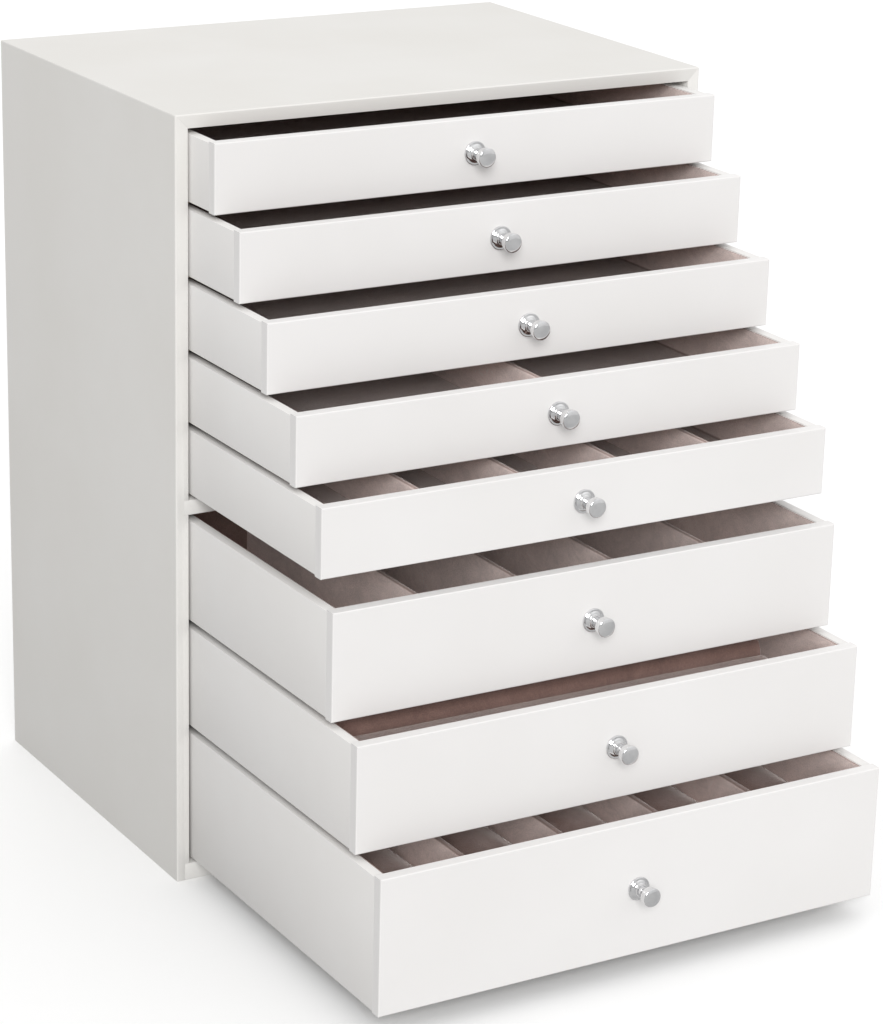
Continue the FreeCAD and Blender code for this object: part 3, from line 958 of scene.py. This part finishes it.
@dataclass
class Drawer:
    """One drawer: its box, velvet and knob."""

    number: int
    wall_ease: float = 0.3 * MM
    board: float = 1.5 * MM
    corner: float = 2.5 * MM
    corner_steps: int = 5
    rim: float = 0.6 * MM
    rim_slack: float = 0.05 * MM
    divider_round: float = 1.6 * MM
    divider_steps: int = 5

    @property
    def body(self) -> str:
        """The body that the drawer's pieces ride on."""
        return f"drawer_{self.number}"

    def node(self, part: str) -> str:
        """The frame's name for one of the drawer's parts."""
        return f"{self.body}_{part}"

    def lining(self) -> None:
        """An open tray of velvet with round inner corners and a turned-over rim."""
        low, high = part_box(self.node("lining"))
        mesh = box_mesh(low, high)
        top = max(mesh.faces, key=lambda face: face.calc_center_median().z)
        bmesh.ops.inset_region(mesh, faces=[top], thickness=self.board, use_even_offset=True)
        sunk = bmesh.ops.extrude_face_region(mesh, geom=[top])
        fresh = [item for item in sunk["geom"] if isinstance(item, bmesh.types.BMVert)]
        bmesh.ops.delete(mesh, geom=[top], context="FACES_ONLY")
        bmesh.ops.translate(mesh, verts=fresh, vec=(0, 0, -(high.z - low.z - self.board)))
        bmesh.ops.recalc_face_normals(mesh, faces=mesh.faces)
        inner = [edge for edge in mesh.edges if self.is_inner(edge, low, high)]
        soften(mesh, inner, self.corner, self.corner_steps)
        rim = [edge for edge in mesh.edges if all(v.co.z > high.z - self.rim_slack for v in edge.verts)]
        soften(mesh, sharp(rim), self.rim)
        piece = new_piece(self.node("velvet_lining"), mesh, VELVET, self.body)
        shade(piece)
        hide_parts(self.node("lining"))

    def is_inner(self, edge: bmesh.types.BMEdge, low: Vector, high: Vector) -> bool:
        """Whether an edge is one of the tray's inner corners, upright or along its floor.

        Args:
            edge: the edge.
            low: the tray's lowest corner.
            high: the tray's highest corner.

        Returns:
            True for an inner corner.
        """
        margin = self.board * 0.5
        inside = all(
            low.x + margin < v.co.x < high.x - margin and low.y + margin < v.co.y < high.y - margin
            for v in edge.verts
        )
        upright = reach(edge, 2) > self.board
        return inside and (upright or max(v.co.z for v in edge.verts) < high.z - margin)

    def dividers(self) -> None:
        """Upright boards wrapped in velvet, with round tops."""
        mesh = flat_faced(self.node("dividers"))
        top = max(v.co.z for v in mesh.verts)
        upper = [
            edge
            for edge in mesh.edges
            if all(v.co.z > top - self.board for v in edge.verts) and reach(edge, 1) > self.board
        ]
        soften(mesh, upper, self.divider_round, self.divider_steps)
        piece = new_piece(self.node("velvet_dividers"), mesh, VELVET, self.body)
        shade(piece)
        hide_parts(self.node("dividers"))

    def build(self) -> None:
        """Dresses the wooden parts and makes the velvet and the knob."""
        dress_node(self.node("front"), LACQUER)
        dress_node(self.node("bottom"), HARDBOARD)
        eased_copy(self.node("walls"), WALL_LACQUER, self.wall_ease, self.body)
        self.lining()
        if self.number in DIVIDED:
            self.dividers()
        Knob(self.number).build()


@dataclass
class RingRolls:
    """The front pad and the round-topped rolls that hold rings between them."""

    body: str = f"drawer_{RINGS_IN}"
    node: str = f"drawer_{RINGS_IN}_ring_rolls"
    side_play: float = 0.15 * MM
    pad_round: float = 2.5 * MM
    crown_gap: float = 0.05 * MM
    crown_steps: int = 8
    end_round: float = 1.6 * MM
    foot: float = 1.0 * MM
    step: float = 5.0 * MM
    ripple: float = 0.9 * MM
    waves: tuple[tuple[float, ...], ...] = ((28, 12, 7.3, 0.6), (90, 40, 2.1, 0.4))
    filling: float = 0.8

    def droop(self, point: Vector) -> float:
        """How far the velvet has sunk at a point of a roll's top.

        Args:
            point: the point.

        Returns:
            The drop in metres.
        """
        shares = 0.0
        for along, across, start, share in self.waves:
            wave = noise.noise(Vector((point.x * along, point.y * across, start)))
            shares += share * (1 - wave) / 2
        return self.ripple * shares

    def roll(self, low: Vector, high: Vector, name: str, crown: float) -> None:
        """Makes one padded bar.

        Args:
            low: the lowest corner of its space.
            high: the highest corner of its space.
            name: the piece's name.
            crown: radius of its long upper edges, in metres.
        """
        mesh = box_mesh(low, high)
        long_top = [
            edge
            for edge in mesh.edges
            if all(v.co.z > high.z - self.foot for v in edge.verts) and reach(edge, 0) > self.step
        ]
        soften(mesh, long_top, crown, self.crown_steps)
        bmesh.ops.remove_doubles(mesh, verts=mesh.verts, dist=2 * MERGE_WITHIN)
        cuts = max(1, round((high.x - low.x) / self.step))
        for index in range(1, cuts):
            bmesh.ops.bisect_plane(
                mesh,
                geom=mesh.verts[:] + mesh.edges[:] + mesh.faces[:],
                plane_co=(low.x + (high.x - low.x) * index / cuts, 0, 0),
                plane_no=(1, 0, 0),
            )
        for vertex in mesh.verts:
            if vertex.co.z >= low.z + self.foot:
                vertex.co.z -= self.droop(vertex.co) * (vertex.co.z - low.z) / (high.z - low.z)
        ends = [
            edge
            for edge in mesh.edges
            if any(all(abs(v.co.x - end) < MERGE_WITHIN for v in edge.verts) for end in (low.x, high.x))
        ]
        soften(mesh, sharp(ends), self.end_round)
        piece = new_piece(name, mesh, SHADED_ROLL_VELVET, self.body)
        shade(piece, 50)
        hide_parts(self.node)

    def build(self) -> None:
        """Makes the pad and the rolls, each in the space of its own solid."""
        play = Vector((0, self.side_play, 0))
        for index, (low, high) in enumerate(islands(self.node)):
            if index == 0:
                self.roll(low + play, high - play, "ring_pad", self.pad_round)
            else:
                crown = (high.y - low.y) / 2 - self.side_play - self.crown_gap
                self.roll(low + play, high - play, f"ring_roll_{index}", crown)


@dataclass
class WatchCushions:
    """Five long crowned cushions for watches, filled by a cloth simulation."""

    body: str = f"drawer_{WATCHES_IN}"
    node: str = f"drawer_{WATCHES_IN}_watch_cushions"
    edge_round: float = 5.0 * MM
    shrink: float = 2.2 * MM
    headroom: float = 5.28 * MM
    voxel: float = 4.0 * MM
    pressure: float = 4.0
    quality: int = 6
    frames: int = 20
    cap: float = 9.0 * MM
    filling: float = 0.8

    def blank(self, low: Vector, high: Vector) -> bmesh.types.BMesh:
        """A cushion's cut shape before it is filled.

        Args:
            low: the lowest corner of its space.
            high: the highest corner of its space.

        Returns:
            The bmesh, a little smaller than its space.
        """
        inset = Vector((self.shrink, self.shrink, 0))
        mesh = box_mesh(low + inset, high - inset - Vector((0, 0, self.headroom)))
        soften(mesh, mesh.edges, self.edge_round)
        return mesh

    def fill(self, piece: bpy.types.Object, low: Vector, high: Vector) -> None:
        """Swells the cushion with air and keeps it in its space.

        Args:
            piece: the cushion.
            low: the lowest corner of its space.
            high: the highest corner of its space.
        """
        remesh = piece.modifiers.new("cloth_grid", "REMESH")
        remesh.mode = "VOXEL"
        remesh.voxel_size = self.voxel
        bake_modifiers(piece)
        rest = [vertex.co.copy() for vertex in piece.data.vertices]
        cloth = piece.modifiers.new("stuffing", "CLOTH")
        cloth.settings.use_pressure = True
        cloth.settings.uniform_pressure_force = self.pressure
        cloth.settings.effector_weights.gravity = 0
        cloth.settings.quality = self.quality
        scene = bpy.context.scene
        for step in range(1, self.frames + 1):
            scene.frame_set(step)
        bake_modifiers(piece)
        scene.frame_set(1)
        for vertex, before in zip(piece.data.vertices, rest):
            moved = vertex.co - before
            if moved.length > self.cap:
                vertex.co = before + moved.normalized() * self.cap
        fit_between(piece, low, high)

    def build(self) -> None:
        """Makes each cushion in the space of its own solid."""
        for index, (low, high) in enumerate(islands(self.node), start=1):
            piece = new_piece(f"watch_cushion_{index}", self.blank(low, high), VELVET, self.body)
            self.fill(piece, low, high)
            smooth = piece.modifiers.new("softness", "SUBSURF")
            smooth.levels = smooth.render_levels = 1
            bake_modifiers(piece)
            fit_between(piece, low, high)
            shade(piece, 80)
            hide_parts(self.node)


@dataclass(frozen=True)
class Sun:
    """A far, soft light that falls evenly over the whole floor."""

    name: str
    comes_from: Triple
    strength: float
    spread: float

    def build(self) -> None:
        """Hangs the light and turns it to the object."""
        data = bpy.data.lights.new(self.name, "SUN")
        data.energy = self.strength
        data.angle = math.radians(self.spread)
        lamp = bpy.data.objects.new(self.name, data)
        bpy.context.scene.collection.objects.link(lamp)
        lamp.rotation_mode = "QUATERNION"
        lamp.rotation_quaternion = (-Vector(self.comes_from)).to_track_quat("-Z", "Y")


@dataclass
class Studio:
    """The floor, the lights and the air round the object."""

    suns: tuple[Sun, ...] = (
        Sun("key_light", (-0.42, -0.80, 0.44), 1.85, 25),
        Sun("back_light", (0.5, 0.7, 0.35), 0.55, 60),
    )
    floor_size: float = 60.0
    floor_tone: Colour = (0.97, 0.97, 0.968)
    floor_mottle: float = 0.995
    mottle_scale: float = 3.0
    floor_bounce: Colour = (0.5, 0.5, 0.5)
    floor_rough: float = 0.85
    floor_gloss: float = 0.2
    air_heights: tuple[float, ...] = (0.0, 0.12, 0.4, 0.62)
    horizon: Colour = (0.5, 0.5, 0.5)
    shoulder: Colour = (0.6, 0.6, 0.6)
    overhead: Colour = (0.86, 0.86, 0.86)
    left_span: Span = (-0.8, 0.1)
    left_share: float = 0.95
    softbox_side: Triple = (0.62, -0.74, 0.26)
    softbox_span: Span = (0.72, 0.86)
    softbox: float = 0.25
    backdrop: Colour = (0.93, 0.93, 0.93)

    def floor(self) -> None:
        """Lays a wide pale floor with the faintest mottle, which bounces less light than it shows."""
        mesh = bmesh.new()
        bmesh.ops.create_grid(mesh, x_segments=4, y_segments=4, size=self.floor_size / 2)
        data = bpy.data.meshes.new("studio_floor")
        mesh.to_mesh(data)
        mesh.free()
        floor = bpy.data.objects.new("studio_floor", data)
        bpy.context.scene.collection.objects.link(floor)
        material = bpy.data.materials.new("pale_floor")
        material.use_nodes = True
        graph = Graph(material.node_tree)
        surface = graph.node(
            "BsdfPrincipled", {"Roughness": self.floor_rough, "Specular IOR Level": self.floor_gloss}
        )
        graph.link(surface.outputs[0], graph.node("OutputMaterial").inputs["Surface"])
        mottle = graph.clouds(graph.node("TexCoord").outputs["Object"], self.mottle_scale, 2.0)
        darker = tuple(part * self.floor_mottle for part in self.floor_tone)
        tone = graph.ramp(mottle.outputs["Fac"], tuple(zip(NOISE_SPAN, (darker, self.floor_tone))))
        seen = graph.node("LightPath").outputs["Is Camera Ray"]
        graph.link(graph.blend(seen, (*self.floor_bounce, 1), tone), surface.inputs["Base Color"])
        data.materials.append(material)

    def air(self) -> None:
        """Fills the world: bright overhead, darker low down, a softbox in front and a plain backdrop."""
        world = bpy.data.worlds.new("studio_air")
        bpy.context.scene.world = world
        world.use_nodes = True
        graph = Graph(world.node_tree)
        towards = graph.node("TexCoord").outputs["Generated"]
        split = graph.node("SeparateXYZ", {0: towards}).outputs
        tones = (self.horizon, self.horizon, self.shoulder, self.overhead)
        tone = graph.ramp(split["Z"], tuple(zip(self.air_heights, tones)))
        left = graph.remap(split["X"], self.left_span, (self.left_share, 1.0))
        dimmed = graph.vector("MULTIPLY", tone, left).outputs[0]
        facing = graph.vector("DOT_PRODUCT", towards, self.softbox_side).outputs["Value"]
        box = graph.remap(facing, self.softbox_span, (0.0, self.softbox))
        lit = graph.vector("ADD", dimmed, box).outputs[0]
        seen = graph.node("LightPath").outputs["Is Camera Ray"]
        sky = graph.node("Background", {"Color": graph.blend(seen, lit, (*self.backdrop, 1))})
        graph.link(sky.outputs[0], graph.node("OutputWorld").inputs["Surface"])

    def build(self) -> None:
        """Lays the floor and hangs the lights."""
        self.floor()
        self.air()
        for sun in self.suns:
            sun.build()


@dataclass
class PhotoCamera:
    """A camera where the photograph was taken from."""

    place: Triple = (-1.0772, -1.9608, 0.9543)
    azimuth: float = 30.66
    elevation: float = 18.745
    roll: float = 1.409
    focal_pixels: float = 3246.0
    clip: Span = (0.05, 60.0)

    def build(self) -> None:
        """Stands the camera, turned by azimuth, elevation and roll."""
        data = bpy.data.cameras.new("photo_camera")
        data.sensor_fit = "AUTO"
        data.sensor_width = SENSOR_WIDE
        data.lens = self.focal_pixels * SENSOR_WIDE / IMAGE_LONG_SIDE
        data.clip_start, data.clip_end = self.clip
        camera = bpy.data.objects.new("photo_camera", data)
        bpy.context.scene.collection.objects.link(camera)
        turn, tilt, roll = (math.radians(angle) for angle in (self.azimuth, self.elevation, self.roll))
        ahead = Vector((math.sin(turn) * math.cos(tilt), math.cos(turn) * math.cos(tilt), -math.sin(tilt)))
        right = Vector((math.cos(turn), -math.sin(turn), 0))
        above = right.cross(ahead)
        across = math.cos(roll) * right + math.sin(roll) * above
        upward = -math.sin(roll) * right + math.cos(roll) * above
        basis = Matrix((across, upward, -ahead)).transposed()
        camera.matrix_world = Matrix.Translation(self.place) @ basis.to_4x4()
        bpy.context.scene.camera = camera


def main() -> None:
    """Builds the cabinet, its studio and its camera."""
    logging.basicConfig(level=logging.INFO, format="%(message)s")
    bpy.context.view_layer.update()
    PhotoCamera().build()
    Case().build()
    for number in DRAWERS:
        Drawer(number).build()
    RingRolls().build()
    WatchCushions().build()
    Studio().build()
    bpy.context.scene.view_settings.view_transform = "Standard"


if __name__ == "__main__":
    main()
